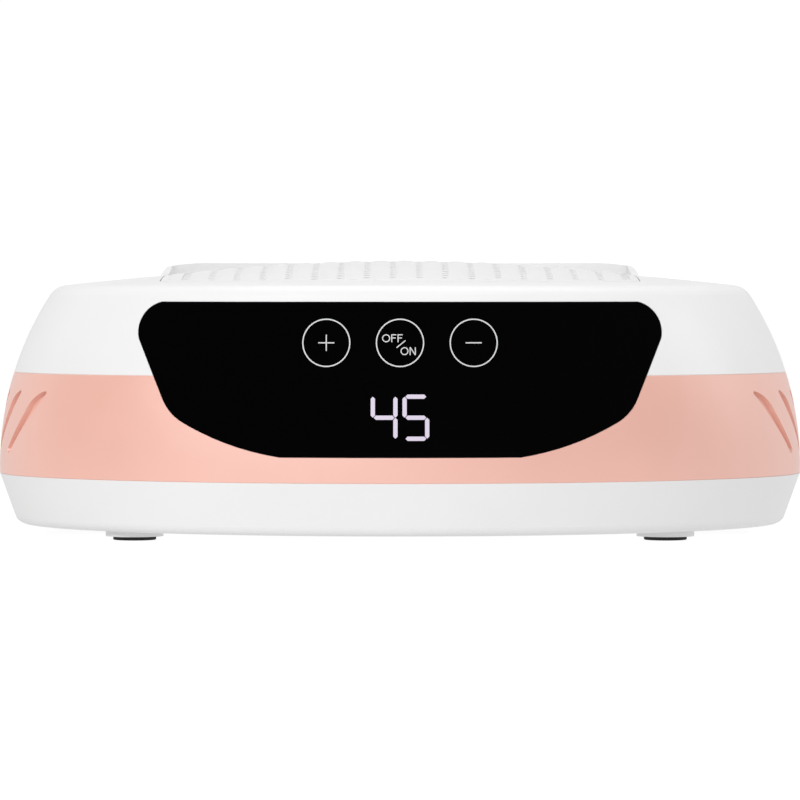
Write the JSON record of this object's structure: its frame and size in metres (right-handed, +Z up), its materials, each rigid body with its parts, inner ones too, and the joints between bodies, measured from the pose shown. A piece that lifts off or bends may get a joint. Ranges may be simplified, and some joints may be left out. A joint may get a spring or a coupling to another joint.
{
  "type": "uv led nail lamp",
  "caption": "Oval desk-top UV LED nail lamp with a touch panel, a hand chamber at the back, and a perforated palm rest that draws filing dust through a filter.",
  "frame": {"origin": "on the table, under the middle of the body", "axes": "+X along the width to the right of someone facing the touch panel, the touch panel faces -Y, +Z up"},
  "size_m": [0.263, 0.202, 0.0891],
  "materials": {
    "white_shell": "glossy white ABS",
    "white_rest": "satin white ABS",
    "coral_band": "satin coral-pink ABS",
    "black_glass_panel": "black gloss acrylic",
    "display_body": "black display body",
    "circuit_board": "green solder mask",
    "led_board": "white solder mask",
    "black_component": "moulded epoxy",
    "steel_screw": "zinc plated",
    "steel_spring": "nickel plated spring",
    "capacitor_can": "sleeved can",
    "inductor_core": "wound ferrite core",
    "heat_sink_metal": "extruded",
    "reflective_liner": "polished reflector sheet",
    "uv_led": "clear violet lens",
    "magnet": "nickel plated",
    "inner_plastic": "white moulding",
    "fan_plastic": "black moulding",
    "bearing_steel": "ground steel",
    "copper_winding": "enamelled copper",
    "rubber_foot": "matte black rubber",
    "inlet_plastic": "black moulding",
    "filter_frame_plastic": "white moulding",
    "key_print": "printed grey-white ink",
    "display_light": "lit pale lavender bars",
    "filter_paper": "pleated non-woven"
  },
  "bodies": {
    "chassis": {"lower_tub": "white_shell", "accent_band": "coral_band", "upper_cover": "white_shell", "touch_panel": "black_glass_panel", "control_board": "circuit_board", "board_screws": "steel_screw", "display_module": "display_body", "touch_springs": "steel_spring", "controller_chip": "black_component", "buzzer": "black_component", "driver_board": "circuit_board", "driver_screws": "steel_screw", "capacitors": "capacitor_can", "inductors": "inductor_core", "heat_sink": "heat_sink_metal", "chamber_liner": "reflective_liner", "mouth_bezel": "white_shell", "led_board_roof": "led_board", "uv_leds_roof": "uv_led", "led_board_left": "led_board", "uv_leds_left": "uv_led", "led_board_right": "led_board", "uv_leds_right": "uv_led", "hand_sensor": "black_component", "catch_magnets": "magnet", "fan_deck": "inner_plastic", "deck_screws": "steel_screw", "fan_screws": "steel_screw", "fan_left_frame": "fan_plastic", "fan_left_bearings": "bearing_steel", "fan_left_stator": "copper_winding", "fan_right_frame": "fan_plastic", "fan_right_bearings": "bearing_steel", "fan_right_stator": "copper_winding", "foot_front_left": "rubber_foot", "foot_back_left": "rubber_foot", "foot_front_right": "rubber_foot", "foot_back_right": "rubber_foot", "case_screws": "steel_screw", "power_inlet": "inlet_plastic"},
    "palm_rest": {"palm_rest": "white_rest"},
    "filter": {"filter_frame": "filter_frame_plastic", "filter_media": "filter_paper"},
    "base_tray": {"base_tray": "white_shell", "tray_reflector": "reflective_liner", "tray_magnets": "magnet"},
    "fan_left_rotor": {"fan_left_rotor": "fan_plastic"},
    "fan_right_rotor": {"fan_right_rotor": "fan_plastic"}
  },
  "joints": [
    {"name": "palm_rest_lift", "type": "slide", "parent": "chassis", "child": "palm_rest", "axis": [0, 0, 1], "range_m": [0, 0.09]},
    {"name": "filter_lift", "type": "slide", "parent": "chassis", "child": "filter", "axis": [0, 0, 1], "range_m": [0, 0.045]},
    {"name": "base_tray_slide", "type": "slide", "parent": "chassis", "child": "base_tray", "axis": [0, 1, 0], "range_m": [0, 0.15]},
    {"name": "fan_left_spin", "type": "hinge", "parent": "chassis", "child": "fan_left_rotor", "pos_m": [-0.041, 0, 0.0627], "axis": [0, 0, 1], "continuous": true},
    {"name": "fan_right_spin", "type": "hinge", "parent": "chassis", "child": "fan_right_rotor", "pos_m": [0.041, 0, 0.0627], "axis": [0, 0, 1], "continuous": true}
  ],
  "couplings": [
    {"joint": "filter_lift", "follows": "palm_rest_lift", "ratio": 0.5}
  ]
}
